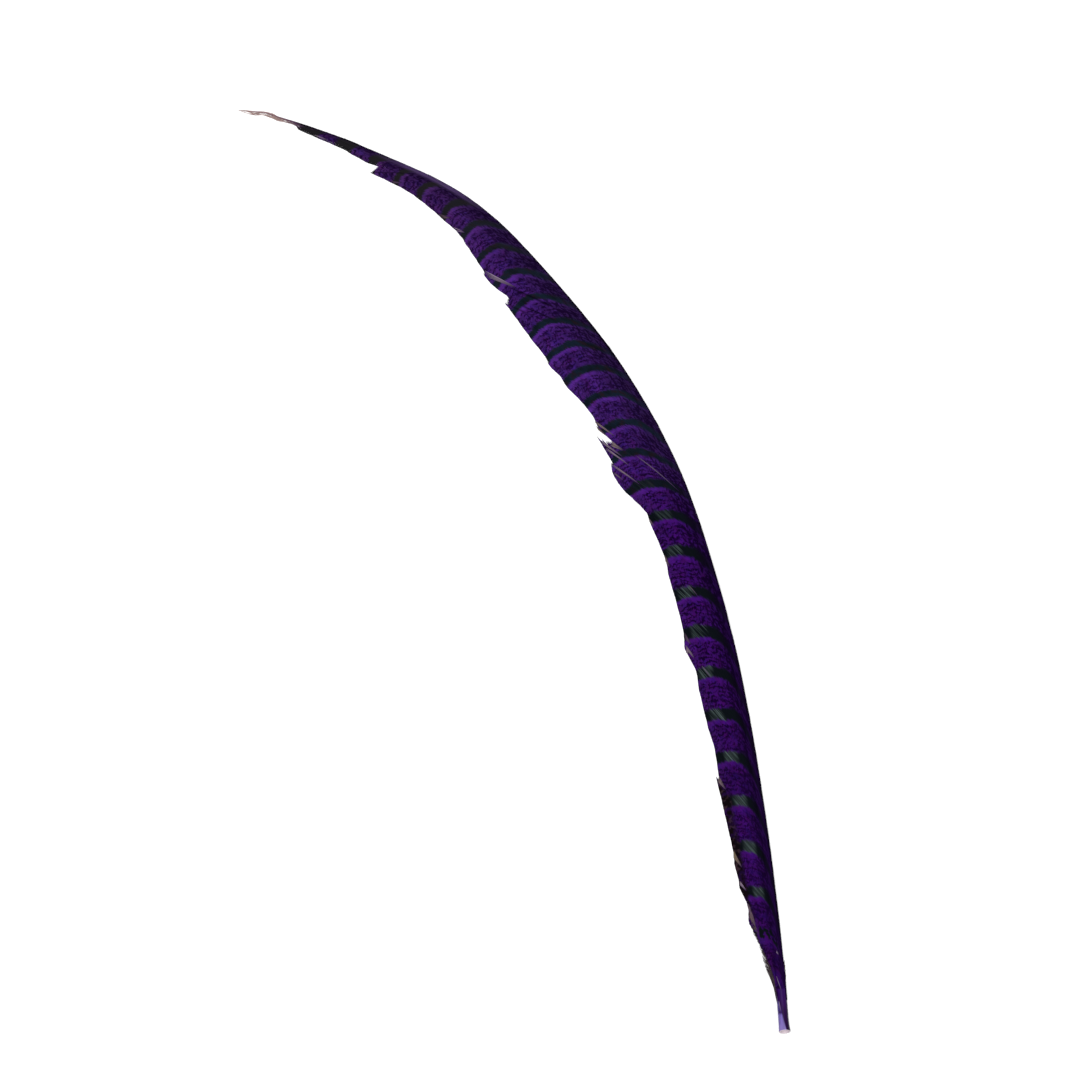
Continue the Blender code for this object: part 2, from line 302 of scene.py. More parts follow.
def lay_barbs(name, barb, line, side, shares, half_width, half_height, roll):
    """Joins a copy of a barb for each row of shares into one mesh.

    line(shift, share) gives (station, aside, height) for every barb, with its root moved by shift.
    side is +1 for the broad vane, on the left of the shaft, and -1 for the narrow one.
    """
    corners, faces = barb
    middle = beside_shaft(*line(0.0, shares))
    forward = beside_shaft(*line(0.0, shares + LINE_STEP)) - beside_shaft(*line(0.0, shares - LINE_STEP))
    beside = beside_shaft(*line(ROOT_STEP, shares)) - beside_shaft(*line(-ROOT_STEP, shares))
    forward = unit(forward)
    up = unit(np.cross(beside, forward) * side)
    across = np.cross(up, forward)
    cosine, sine = np.cos(roll)[..., None], np.sin(roll)[..., None]
    across, up = across * cosine + up * sine, up * cosine - across * sine
    wide = (half_width * corners[:, 1])[..., None] * across
    high = (half_height * corners[:, 2])[..., None] * up
    points = middle + wide + high
    points[..., 2] = np.maximum(points[..., 2], LEAST_HEIGHT)
    count = len(points)
    numbers = np.arange(count)[:, None, None] * len(corners) + faces
    mesh = bpy.data.meshes.new(name)
    mesh.from_pydata(points.reshape(-1, 3) * MM, [], numbers.reshape(-1, faces.shape[1]).tolist())
    piece = bpy.data.objects.new(name, mesh)
    bpy.context.collection.objects.link(piece)
    print(name, "has", count, "barbs and", count * len(faces) * 2, "triangles")
    return piece


# %% [markdown]
# ## The broad vane
# On a side tail feather the vane on the inner side of the curve is by far the broader one. Its barbs
# leave the shaft's upper edge, rise over a crown and come down to the surface, where the locks' tips
# make a ragged margin. Each barb follows the solid's arched surface. The lines of all barbs are worked
# out at once as arrays, with a little chance in their length, height and roll.

# %% The surface that the broad vane's barbs follow
SIDE_CORNER = 0.80
TOP_CORNER = 0.60
BROAD_SWEEP = (
    (0, 1.6), (60, 1.7), (120, 1.8), (180, 2.0), (240, 2.2), (340, 2.3), (400, 2.5), (450, 2.9),
    (500, 3.6), (540, 5),
)
BROAD_WIDTH = (
    (14, 2.2), (18.2, 2.9), (22.7, 3.2), (26, 4.2), (29.6, 6.3), (31.8, 8.0), (34.3, 9.6), (36.5, 12.0),
    (43.5, 11.6), (46, 12.0), (49.4, 14.8), (53, 14.7), (59, 15.8), (64, 15.4), (77, 16.7), (96.3, 18.3),
    (97.2, 17.0), (113, 16.6), (121, 18.0), (137, 18.9), (143.5, 18.4), (147, 18.6), (150, 20.4),
    (152, 21.7), (156, 20.9), (164, 20.2), (184, 19.9), (190, 19.9), (194, 19.2), (198, 18.9), (203, 19.0),
    (216, 20.2), (221, 20.0), (222.6, 22.3), (223.5, 26.3), (225.5, 27.5), (228.5, 27.8), (234.5, 26.8),
    (238, 25.6), (252.6, 26.0), (253.4, 23.6), (256.8, 21.0), (259, 20.5), (261, 22.2), (263, 23.2),
    (269, 22.4), (277, 22.9), (281, 23.8), (285, 24.9), (290, 24.6), (292.5, 24.2), (297, 25.5), (303, 24.4),
    (315, 24.4), (327, 23.7), (339, 22.9), (342, 21.5), (346.5, 19.8), (349.5, 19.8), (351.5, 21.1),
    (354.5, 21.7), (358, 21.5), (362, 20.2), (367, 19.6), (374, 18.7), (385.5, 17.0), (393.5, 15.5),
    (402, 14.4), (407, 14.1), (418, 12.7), (433, 10.8), (439.5, 10.0), (448.5, 9.3), (462.6, 8.6),
    (466.5, 6.6), (472, 4.4), (476, 4.8), (485.5, 4.0), (494, 3.1), (510, 2.6), (518, 2.2), (523, 1.2),
)
CROWN_HEIGHT = (
    (14, 4.4), (26, 5.0), (60, 6.2), (150, 8.2), (240, 9.4), (340, 8.4), (420, 5.6), (480, 3.3), (538, 1.5),
)
CROWN_SHARE = 0.36
FLAT_MARGIN_SHARE = 0.1
FALL_POWER = 1.8
MARGIN_HEIGHT = 0.55
TIP_TURN = 0.12


def shaft_edge(root, side):
    """Aside and height of the shaft's upper left (side +1) or right (-1) edge, where barbs leave it."""
    radius = between(SHAFT_DIAMETER, root) / 2
    height = between(SHAFT_AXIS_HEIGHT, root) + TOP_CORNER * radius
    return between(SHAFT_ASIDE, root) + side * SIDE_CORNER * radius, height


def turned(share):
    """How much of the vane's width a barb has crossed: its tip turns to run along the margin."""
    past = np.clip((share - 1 + TIP_TURN) / TIP_TURN, 0, None)
    return (share - TIP_TURN * past ** 2 / 2) / (1 - TIP_TURN / 2)


def broad_surface(root, share, tip):
    """(station, aside, height) on the broad vane, at a share of the way from a root to a barb's tip."""
    start, start_height = shaft_edge(root, 1)
    crown = between(CROWN_HEIGHT, root)
    run = (tip - start) * share
    rise = crown - (crown - start_height) * (1 - share / CROWN_SHARE) ** 2
    down = np.clip((share - CROWN_SHARE) / (1 - CROWN_SHARE - FLAT_MARGIN_SHARE), 0, 1)
    fall = ((1 - np.cos(math.pi * down)) / 2 + down ** FALL_POWER) / 2
    height = np.where(share < CROWN_SHARE, rise, crown - (crown - MARGIN_HEIGHT) * fall)
    return root + between(BROAD_SWEEP, root) * run, start + (tip - start) * turned(share), height


# %% Roots of the broad vane's barbs, and their place in a lock
BARB_PITCH = 0.65
ROOT_SCATTER = 0.08
CLUMP = 5
FIRST_BARB = VANE_START + 0.2
LAST_BARB = 523.0

barb_count = int((LAST_BARB - VANE_START) / BARB_PITCH)
roots = np.linspace(FIRST_BARB, LAST_BARB, barb_count)
roots += scatter.uniform(-ROOT_SCATTER, ROOT_SCATTER, barb_count)
lock = np.clip(np.searchsorted(locks, roots, side="right") - 1, 0, LOCK_COUNT - 1)
within = (roots - locks[lock]) / (locks[lock + 1] - locks[lock])
clump = np.arange(barb_count) // CLUMP
clump_root = np.array([roots[clump == c].mean() for c in clump])
print("Barbs on the broad vane:", barb_count)

# %% Lines of the broad vane's barbs
FULL_WIDTH = 4.0  # of a vane; a narrower one is parted less
LEAST_PARTED = 0.3
LOCK_POINT = 0.15
LOCK_CROWN = 0.2
LENGTH_SCATTER = 0.04
HEIGHT_SCATTER = 0.02
SINK = 0.16
MARGIN_SINK = 0.22
MARGIN_FROM = 0.7
CLUMP_FROM = 0.86
CLUMP_PULL = 0.06


def ease(low, high, values):
    """0 below low, 1 above high and a smooth step between."""
    way = np.clip((values - low) / (high - low), 0, 1)
    return way * way * (3 - 2 * way)


root = roots[:, None]
narrowing = np.clip(between(BROAD_WIDTH, roots) / FULL_WIDTH, LEAST_PARTED, 1)
tips = between(BROAD_WIDTH, roots) + LOCK_POINT * narrowing * (1 - (2 * within - 1) ** 2)
tips += scatter.uniform(-LENGTH_SCATTER, LENGTH_SCATTER, barb_count) * narrowing
tip = tips[:, None]
barb_height = scatter.uniform(-HEIGHT_SCATTER, HEIGHT_SCATTER, barb_count)[:, None]
share = np.tile(broad_barb[0][:, 0], (barb_count, 1))


def parting_shift(at_lock, inside, root_share):
    """How far barbs are pushed along the shaft by the partings on both sides of their lock."""
    opening = 0.0
    for boundary, weight in ((at_lock, 1 - inside), (at_lock + 1, -inside)):
        start = parted_from[boundary][:, None]
        way = np.clip((root_share - start) / (1 - start), 0, None)
        opening = opening + (parted_by[boundary] / 2 * weight)[:, None] * way
    return opening


def broad_line(shift, at):
    """The broad vane's barbs, for lay_barbs."""
    station, off, height = broad_surface(root + shift, at, tip)
    station = station + parting_shift(lock, within, at) * narrowing[:, None]
    gather = CLUMP_PULL * ease(CLUMP_FROM, 1.0, at)
    station = station + (clump_root - roots)[:, None] * gather
    lift = LOCK_CROWN * (1 - (2 * within - 1) ** 2)[:, None] * np.sin(math.pi * np.clip(at, 0, 1))
    height = height + lift + barb_height - SINK - MARGIN_SINK * ease(MARGIN_FROM, 1.0, at)
    return station, off, height


# %% Lay the broad vane's barbs
BARB_OVERLAP = 2.0
BARB_THICKNESS = 0.22
BARB_ROLL = math.radians(2.5)
TAPER_FROM = 0.95
TIP_WIDTH = 0.5

sweep = between(BROAD_SWEEP, roots)
half_width = 0.5 * BARB_OVERLAP * BARB_PITCH / np.sqrt(1 + sweep ** 2)
taper = 1 - (1 - TIP_WIDTH) * ease(TAPER_FROM, 1.0, share)
roll = np.tile(scatter.normal(0, BARB_ROLL, (barb_count, 1)), (1, share.shape[1]))
broad_vane = lay_barbs(
    "broad_vane_barbs", broad_barb, broad_line, 1, share, half_width[:, None] * taper,
    BARB_THICKNESS / 2 * taper, roll,
)

# %% [markdown]
# ## The narrow vane
# The vane on the outer side is only a few millimetres wide. On a feather that lies on a table it folds
# down to the table, so from above it is a thin dark edge. Its barbs follow a quarter of an ellipse.

# %% Lay the narrow vane's barbs
NARROW_SWEEP = 9.0
NARROW_REACH = (
    (14, 2.3), (44, 2.3), (60, 2.0), (100, 1.95), (136, 2.3), (170, 2.2), (186, 1.75), (216, 1.75),
    (238, 2.2), (256, 2.1), (280, 1.85), (308, 2.1), (332, 2.6), (346, 2.5), (365, 2.2), (390, 1.9),
    (420, 1.5), (438, 1.6), (462, 1.2), (480, 1.4), (496, 1.7), (512, 1.15), (520, 0.8), (527, 0.5),
)
NARROW_SCATTER = 0.04
NARROW_DROP = 0.12
NARROW_TUCK = 0.1
NARROW_HALF_WIDTH = 0.55
NARROW_ROLL = math.radians(8)

narrow_share = np.tile(narrow_barb[0][:, 0], (barb_count, 1))
narrow_tip = scatter.uniform(-NARROW_SCATTER, NARROW_SCATTER, barb_count) - between(NARROW_REACH, roots)
narrow_drop = scatter.uniform(0.0, NARROW_DROP, barb_count)[:, None]


def narrow_line(shift, at):
    """The narrow vane's barbs, for lay_barbs."""
    base = root + shift
    start, start_height = shaft_edge(base, -1)
    turn = math.pi / 2 * at
    off = start + (narrow_tip[:, None] - start) * np.sin(turn)
    height = (start_height - NARROW_TUCK) * np.cos(turn) + narrow_drop * at
    return base + NARROW_SWEEP * at, off, height


narrow_vane = lay_barbs(
    "narrow_vane_barbs", narrow_barb, narrow_line, -1, narrow_share,
    np.full(narrow_share.shape, NARROW_HALF_WIDTH), np.full(narrow_share.shape, BARB_THICKNESS / 2),
    np.tile(scatter.normal(0, NARROW_ROLL, (barb_count, 1)), (1, narrow_share.shape[1])),
)

# %% [markdown]
# ## Where the bars lie
# The feather carries 28 dark bars. Each crosses the vane straight from its margin and then sweeps back
# towards the quill beside the shaft. An image would be the quick way to print them, but a material can
# draw them sharp at any size if every point of a barb knows its place in the pattern: its station once
# the bars' sweep is taken out of it, how far aside it lies, and how many bars lie below it. It is also
# told how broad the bars are there, and how near it lies to the line along which a painted sheen runs
# over them, where their barbs would face the light.

# %% Count the bars
BARS = (
    47.3, 67.8, 90, 112.8, 134.3, 155, 175.1, 196.5, 216.7, 237.2, 256.5, 274.2, 292.5, 308.2, 324.5, 340.2,
    354.8, 369.3, 384, 399.3, 414.9, 430, 445, 460.5, 474, 487, 503, 522,
)
BEFORE_FIRST = (8, 27)
AFTER_LAST = (540, 560)
LOWER_ARCH = (
    (0, -27), (0.07, -18), (0.12, -13), (0.17, -9.5), (0.225, -6.5), (0.28, -4.5), (0.33, -3.2),
    (0.43, -1.5), (0.53, -0.7), (0.65, 0), (0.85, 0), (1, -0.8),
)
UPPER_ARCH = (
    (0, -19), (0.1, -14.5), (0.17, -11), (0.25, -8.2), (0.32, -6), (0.4, -4.2), (0.48, -2.7), (0.56, -1.5),
    (0.64, -0.7), (0.8, 0), (0.9, -0.2), (1, -1),
)
UPPER_WIDTH = 26.0
ARCH_CHANGES = (165, 235)
ARCH_SOFTNESS = (-0.03, 0.0, 0.03)
EDGE_SOFTNESS = (-8, -4, 0, 4, 8)

bar_counts = [(place, i - len(BEFORE_FIRST)) for i, place in enumerate((*BEFORE_FIRST, *BARS, *AFTER_LAST))]
margin_place = broad_surface(roots, 1.0, between(BROAD_WIDTH, roots))
order = np.argsort(margin_place[0])
margin = tuple(zip(margin_place[0][order], margin_place[1][order]))


def softened(table, at, steps):
    """The mean of a table's values at some steps from a place, which rounds off its corners."""
    return sum(between(table, at + step) for step in steps) / len(steps)


def visible_width(station):
    """How far the feather reaches at a station, to the outer side and to the broad vane's margin."""
    return between(NARROW_REACH, station), softened(margin, station, EDGE_SOFTNESS)


def seen_share(station, off):
    """How far across the visible feather a place is: 0 at the outer edge, 1 at the broad margin."""
    outer, inner = visible_width(station)
    return (off + outer) / (inner + outer)


def arch(station, seen):
    """How far back a bar stands from its foremost point, at a share of the visible width."""
    lower = softened(LOWER_ARCH, seen, ARCH_SOFTNESS)
    upper = softened(UPPER_ARCH, seen, ARCH_SOFTNESS) * sum(visible_width(station)) / UPPER_WIDTH
    return lower + (upper - lower) * ease(*ARCH_CHANGES, station)


print("Bars:", len(BARS), "- at station 150 a bar sweeps back", round(-float(arch(150, 0.1)), 1), "mm")

# %% Tell every point what its dye needs to know
BARB_SHIFT = 0.9
BAR_HALF = (
    # half of a bar's breadth, as a share of the way from bar to bar, at a flat station
    (32, -0.1), (38, 0.16), (58, 0.13), (120, 0.13), (160, 0.143), (255, 0.143), (290, 0.122), (478, 0.122),
    (490, 0.18), (525, 0.34),
)
PAINTED_SHEEN_MIDDLE = (
    # share of the visible width at which a bar's barbs face the light: the middle of its painted sheen
    (60, 0.54), (90, 0.56), (112, 0.58), (134, 0.64), (155, 0.75), (175, 0.80), (196, 0.67), (216, 0.76),
    (236, 0.76), (256, 0.70),
)
# how strong the painted sheen on the bars is, at a flat station
PAINTED_SHEEN = ((52, 0.0), (68, 0.72), (112, 0.8), (134, 1.0), (216, 0.9), (240, 0.7), (262, 0.25), (300, 0.0))
SEAM_SHADES = (
    # painted shade along the partings: root of the barb where two locks part, share of its length where
    # the line begins and ends, how dark
    (358.6, 0.20, 0.66, 0.8), (346.0, 0.42, 0.74, 0.9), (341.0, 0.62, 1.0, 0.5), (280.0, 0.55, 1.0, 0.3),
    (250.9, 0.45, 1.0, 0.4), (239.0, 0.45, 1.0, 0.3), (219.0, 0.45, 1.0, 0.3), (200.0, 0.60, 1.0, 0.3),
    (97.0, 0.50, 1.0, 0.4), (464.0, 0.20, 1.0, 0.6), (378.0, 0.45, 0.80, 0.3), (128.0, 0.55, 0.75, 0.3),
)
SEAM_HALF_WIDTH = 1.0
SEAM_FADE = 0.15


def mark(piece, station, off, place, shares, chances, seam_shade):
    """Gives each point of a piece four triples: pattern, barb, zone and bars."""
    seen = seen_share(station, off)
    flat_station = station - arch(station, seen) + BARB_SHIFT * (chances - 0.5)
    give(piece, "pattern", [flat_station, off, between(bar_counts, flat_station)])
    give(piece, "barb", [place[0], place[1], chances])
    give(piece, "zone", [seen, shares, seam_shade])
    # how far a point lies from the middle of the painted sheen on its bar
    from_painted_sheen = np.abs(seen - between(PAINTED_SHEEN_MIDDLE, flat_station))
    give(piece, "bars", [between(BAR_HALF, flat_station), from_painted_sheen, between(PAINTED_SHEEN, flat_station)])


def mark_barbs(piece, line, shares, reach):
    """Marks a vane: place is the barb's root and the way along it; the last number is a parting's painted
    shade.
    """
    station, off, _ = (np.broadcast_to(part, shares.shape).ravel() for part in line(0.0, shares))
    seam_shade = np.zeros(shares.shape)
    for seam_root, begin, end, depth in SEAM_SHADES:
        close = np.exp(-(((root - seam_root) / SEAM_HALF_WIDTH) ** 2))
        reaches = ease(begin, begin + SEAM_FADE, shares) * (1 - ease(end, end + SEAM_FADE, shares))
        seam_shade = np.maximum(seam_shade, depth * close * reaches)
    root_place = np.broadcast_to(root, shares.shape).ravel()
    chances = np.broadcast_to(scatter.random((len(shares), 1)), shares.shape).ravel()
    place = (root_place, (shares * reach[:, None]).ravel())
    mark(piece, station, off, place, shares.ravel(), chances, seam_shade.ravel())


barb_lengths = (tips - shaft_edge(roots, 1)[0]) * np.sqrt(1 + sweep ** 2)
mark_barbs(broad_vane, broad_line, share, barb_lengths)
mark_barbs(narrow_vane, narrow_line, narrow_share, np.full(barb_count, NARROW_SWEEP))
level = np.full(len(shaft_station), 0.5)
mark(shaft, shaft_station, aside, (shaft_station, aside), level * 0, level, level * 0)
print("Longest barb:", round(float(barb_lengths.max()), 1), "mm")

# %% [markdown]
# ## Barbs that took little dye
# Here and there a worn or loose barb stayed pale: a lilac wedge beside a split, tan tips of locks along
# the margin. They could be painted on the vane, but they stand off it a little, so they are barbs of
# their own, laid a hair above the others. Each row of the table is a bundle of them that fans out from
# one point of the vane to a short line at its margin.

# %% How high the feather stands at a place
def top_height(station, off):
    """Height of the feather's upper side at some places."""
    radius = between(SHAFT_DIAMETER, station) / 2
    across = off - between(SHAFT_ASIDE, station)
    horn = between(SHAFT_AXIS_HEIGHT, station) + np.sqrt(np.clip(radius ** 2 - across ** 2, 0, None))
    start, _ = shaft_edge(station, 1)
    base = station - between(BROAD_SWEEP, station) * (1 - TIP_TURN / 2) * (off - start)
    start, _ = shaft_edge(base, 1)
    reach = between(BROAD_WIDTH, base) - start
    way = np.clip((off - start) * (1 - TIP_TURN / 2) / reach, 0, 1)
    vane = broad_surface(base, way, start + reach)[2] - SINK - MARGIN_SINK * ease(MARGIN_FROM, 1.0, way)
    return np.maximum(vane, np.where(np.abs(across) < radius, horn, 0))


print("Height of the vane 10 mm aside at station 250, mm:", round(float(top_height(250.0, 10.0)), 1))

# %% Lay the pale barbs
PALE_BUNDLES = (
    # (station, aside) where they meet, and where the first and the last end; barbs, tone, dye
    ((391.0, 14.3), (408.0, 19.8), (405.0, 20.9), 5, 1.0, 0.0),
    ((430.0, 13.0), (436.5, 14.2), (434.5, 14.7), 2, 0.8, 0.25),
    ((274.0, 18.4), (290.5, 26.3), (289.8, 26.6), 2, 0.6, 0.2),
    ((284.5, 18.9), (299.5, 25.0), (298.8, 25.5), 3, 0.7, 0.25),
    ((291.0, 20.2), (304.0, 25.3), (303.2, 25.7), 3, 0.8, 0.1),
    ((279.5, 24.6), (286.0, 27.2), (285.5, 27.4), 2, 0.4, 0.5),
    ((293.8, 18.2), (301.5, 20.8), (299.5, 22.6), 8, 0.45, 0.0),
    ((302.0, 18.6), (314.5, 23.0), (313.8, 23.4), 3, 0.3, 0.1),
    ((304.5, 21.8), (312.0, 23.9), (310.0, 24.0), 4, 0.0, 0.45),
    ((264.0, 2.6), (288.0, 14.0), (287.8, 14.2), 2, 1.0, 0.55),
    ((183.5, 18.2), (190.5, 21.0), (187.0, 21.6), 8, 0.7, 0.15),
    ((190.5, 18.4), (197.0, 20.2), (194.0, 20.6), 4, 0.1, 0.7),
    ((230.5, 18.2), (236.8, 18.6), (234.5, 19.4), 4, 0.2, 0.35),
    ((251.5, 19.0), (256.8, 20.3), (255.0, 20.5), 3, 0.3, 0.4),
    ((79.5, 12.7), (88.0, 15.6), (84.5, 16.1), 9, 0.0, 0.05),
    ((118.0, 15.0), (124.6, 17.2), (122.6, 18.1), 6, 0.35, 0.25),
    ((172.0, 12.3), (179.0, 15.5), (178.8, 15.7), 1, 0.8, 0.5),
    ((213.0, 9.8), (219.5, 12.3), (219.3, 12.5), 1, 0.6, 0.4),
    ((46.5, 8.2), (54.0, 10.6), (50.0, 11.6), 6, 0.0, 0.35),
    ((50.5, 9.2), (61.0, 11.3), (55.0, 12.0), 7, 0.0, 0.3),
    ((54.0, 10.2), (64.0, 12.0), (60.0, 12.0), 4, 0.4, 0.5),
    ((68.0, 12.0), (72.6, 14.4), (71.4, 14.9), 4, 0.9, 0.1),
    ((36.2, 0.0), (38.2, 0.9), (37.6, 1.0), 2, 1.0, 0.1),
    ((18.5, 0.3), (26.0, 2.0), (25.6, 2.1), 1, 1.0, 0.3),
    ((8.5, 1.4), (14.0, 1.8), (13.8, 2.0), 1, 1.0, 0.3),
    ((440.5, 11.3), (447.0, 12.9), (444.0, 13.4), 4, 0.0, 0.6),
    ((511.5, 1.9), (518.5, 2.0), (516.0, 2.3), 3, 0.9, 0.1),
    ((471.0, 7.5), (476.5, 8.9), (474.5, 9.1), 3, 0.0, 0.7),
)
PALE_LIFT = 0.3
PALE_HALF_WIDTH = 0.19
PALE_ENDS = (0.02, 0.96)
MEETING_SHARE = 0.12

pale_inner, pale_outer, pale_tone, pale_dye = [], [], [], []
for meet, first_end, last_end, count, tone, dye in PALE_BUNDLES:
    middle = (np.array(first_end) + last_end) / 2
    for way in np.linspace(0, 1, count) if count > 1 else [0.5]:
        end = np.array(first_end) + (np.array(last_end) - first_end) * way
        pale_inner.append(np.array(meet) + (end - middle) * MEETING_SHARE)
        pale_outer.append(end)
        pale_tone.append(tone)
        pale_dye.append(dye)
pale_inner, pale_outer = np.array(pale_inner), np.array(pale_outer)
pale_share = np.tile(broad_barb[0][:, 0], (len(pale_inner), 1))


def pale_line(shift, at):
    """The pale barbs, for lay_barbs, straight across the vane from where they meet to their ends."""
    station = pale_inner[:, :1] + (pale_outer - pale_inner)[:, :1] * at + shift
    off = pale_inner[:, 1:] + (pale_outer - pale_inner)[:, 1:] * at
    return station, off, top_height(station, off) + PALE_LIFT


both_ends = np.sqrt(np.sin(math.pi * np.clip(pale_share, *PALE_ENDS)))
pale_barbs = lay_barbs(
    "pale_barbs", broad_barb, pale_line, 1, pale_share, PALE_HALF_WIDTH * both_ends,
    np.full(pale_share.shape, BARB_THICKNESS / 2), np.zeros(pale_share.shape),
)
undyed = (1 - np.array(pale_dye))[:, None]
inner_dye = 1 - undyed * (1 - (1 - pale_share) ** 1.5)
pale_tones = np.broadcast_to(np.array(pale_tone)[:, None], pale_share.shape).ravel()
pale_chance = np.broadcast_to(scatter.random((len(pale_share), 1)), pale_share.shape).ravel()
give(pale_barbs, "tone", [pale_tones, inner_dye.ravel(), pale_chance])

# %% [markdown]
# ## Wisps at the tip
# Past the last bar the vanes have worn away, and only the shaft's end and a bundle of loose barbs are
# left, hair-fine and pinkish. The bundle's middle and its spread are listed; each wisp winds
# from one side of the bundle to the other.

# %% Draw the tip's wisps
WISP_COUNT = 15
BUNDLE_MIDDLE = (
    (515, 0.6), (527, 0.45), (530, 0.1), (535, 0.4), (538, 0.5), (541, -0.1), (545, -0.4), (549, 0.35),
    (552, 0.4), (555, 0.0), (558, -0.4),
)
BUNDLE_SPREAD = (
    (515, 0.5), (527, 0.8), (530, 0.65), (535, 0.75), (538, 1.0), (541, 1.1), (545, 0.8), (549, 0.9),
    (552, 0.7), (558, 0.15),
)
BUNDLE_HEIGHT = ((515, 1.5), (530, 0.9), (545, 0.5), (558, 0.35))
WISP_STARTS = (514, 526)
WISP_ENDS = (543, 558.5)
WISP_WAVES = (0.12, 0.35)
WISP_LIFT = (-0.1, 0.15)
WISP_RADIUS = (0.20, 0.09)
WISP_STEPS = 36
DYE_GIVES_OUT = (525, 540)

wisp_lines = []
for i in range(WISP_COUNT):
    wisp_stations = np.linspace(scatter.uniform(*WISP_STARTS), scatter.uniform(*WISP_ENDS), WISP_STEPS)
    wave = np.sin(wisp_stations * scatter.uniform(*WISP_WAVES) + scatter.uniform(0, 2 * math.pi))
    wisp_aside = between(BUNDLE_MIDDLE, wisp_stations) + between(BUNDLE_SPREAD, wisp_stations) * wave
    wisp_height = between(BUNDLE_HEIGHT, wisp_stations) + scatter.uniform(*WISP_LIFT)
    radii = np.linspace(*WISP_RADIUS, WISP_STEPS)
    wisp_lines.append((beside_shaft(wisp_stations, wisp_aside, wisp_height), radii))
tip_wisps = strands("tip_wisps", wisp_lines)
_, wisp_station, _ = measure(tip_wisps)
give(tip_wisps, "tone", [ease(*DYE_GIVES_OUT, wisp_station), 0.0, scatter.random(len(wisp_station))])
print("Wisps:", WISP_COUNT, "with", len(tip_wisps.data.polygons), "faces")

# %% [markdown]
# ## Down at the base
# Where the vanes begin, the barbs have no hooks and stay loose, as soft grey down. A hair system would
# suit them, but hair isn't mesh either, so each downy barb is a thin strand that leaves the quill's
# side and curls out to the soft edge of the tuft.

# %% Grow the base down
DOWN_EDGE = (
    (16, 2.6), (18, 3.1), (23, 4.4), (28, 6.1), (33, 7.4), (37, 7.9), (42, 8.8), (47, 10.9), (50, 11.3),
)
OUTER_DOWN_EDGE = ((16, 2.0), (20, 2.4), (26, 2.8), (30, 3.0), (34, 2.7), (40, 2.2))
DOWN_TUFTS = (
    # strands, first and last station of their ends, least and most length, depth of the tuft, side
    (230, 17, 48, 7, 13, 2.2, 1),
    (90, 17, 35, 4, 9, 1.6, -1),
)
DOWN_CURL = 0.12
DOWN_CURLS = (4, 9)
DOWN_END_HEIGHT = (0.3, 1.6)
DOWN_RADIUS = (0.14, 0.05)
DOWN_POINTS = 9

down_lines = []
for count, first, last, least, most, depth, side in DOWN_TUFTS:
    edge = DOWN_EDGE if side > 0 else OUTER_DOWN_EDGE
    for _ in range(count):
        end = scatter.uniform(first, last)
        length = scatter.uniform(least, most)
        way = np.linspace(0, 1, DOWN_POINTS)
        strand_stations = end - length * (1 - way)
        inward = depth * scatter.uniform(0, 1) ** 1.5
        leaves = shaft_edge(strand_stations[0], side)[0] * side
        reach = between(edge, end) - inward - leaves
        curl = DOWN_CURL * np.sin(way * scatter.uniform(*DOWN_CURLS) + scatter.uniform(0, 6)) * way
        off = side * (leaves + reach * way ** 1.3 + curl)
        root_height = between(SHAFT_AXIS_HEIGHT, strand_stations[0])
        height = root_height + (scatter.uniform(*DOWN_END_HEIGHT) - root_height) * ease(0, 1, way)
        radii = np.linspace(*DOWN_RADIUS, DOWN_POINTS)
        down_lines.append((beside_shaft(strand_stations, off, height), radii))
base_down = strands("base_down", down_lines, roundness=0)
_, _, down_aside = measure(base_down)
give(base_down, "tone", [ease(1.0, -1.0, down_aside), 0.0, scatter.random(len(down_aside))])
print("Downy strands:", len(down_lines), "with", len(base_down.data.polygons), "faces")

# %% [markdown]
# ## Dye and keratin
# A feather's colour is in its keratin. This one was soaked in violet dye: the light ground between the
# bars took it bright, the black bars only turned a bluish black. Materials are made with nodes, by one
# small function that adds a node, sets it and links it. A pattern as fine as this one takes a long chain
# of nodes. As a table, with a row for each node, it is easier to read and to change.

# %% Add nodes and turn hex colours to linear
def linear(code):
    """A linear colour from an sRGB hex value such as 4b1088."""
    values = [int(code[i:i + 2], 16) / 255 for i in (0, 2, 4)]
    return (*(v / 12.92 if v <= 0.04045 else ((v + 0.055) / 1.055) ** 2.4 for v in values), 1.0)


def add(tree, kind, sockets, stops=(), **settings):
    """Adds a node with its settings. Sockets take a value, or link to a node or to one of its outputs.

    stops are the places and hex colours along a colour ramp.
    """
    made = tree.nodes.new(kind)
    for name, value in settings.items():
        setattr(made, name, value)
    for i, (place, code) in enumerate(stops):
        ramp = made.color_ramp.elements
        stop = ramp[i] if i < 2 else ramp.new(place)
        stop.position = place
        stop.color = linear(code)
    for socket, value in sockets.items():
        if isinstance(value, bpy.types.Node):
            value = next(output for output in value.outputs if output.enabled)
        if isinstance(value, bpy.types.NodeSocket):
            tree.links.new(value, made.inputs[socket])
        else:
            made.inputs[socket].default_value = value
    return made


def new_material(name):
    """An empty material and its node tree."""
    material = bpy.data.materials.new(name)
    material.use_nodes = True
    material.node_tree.nodes.clear()
    return material, material.node_tree


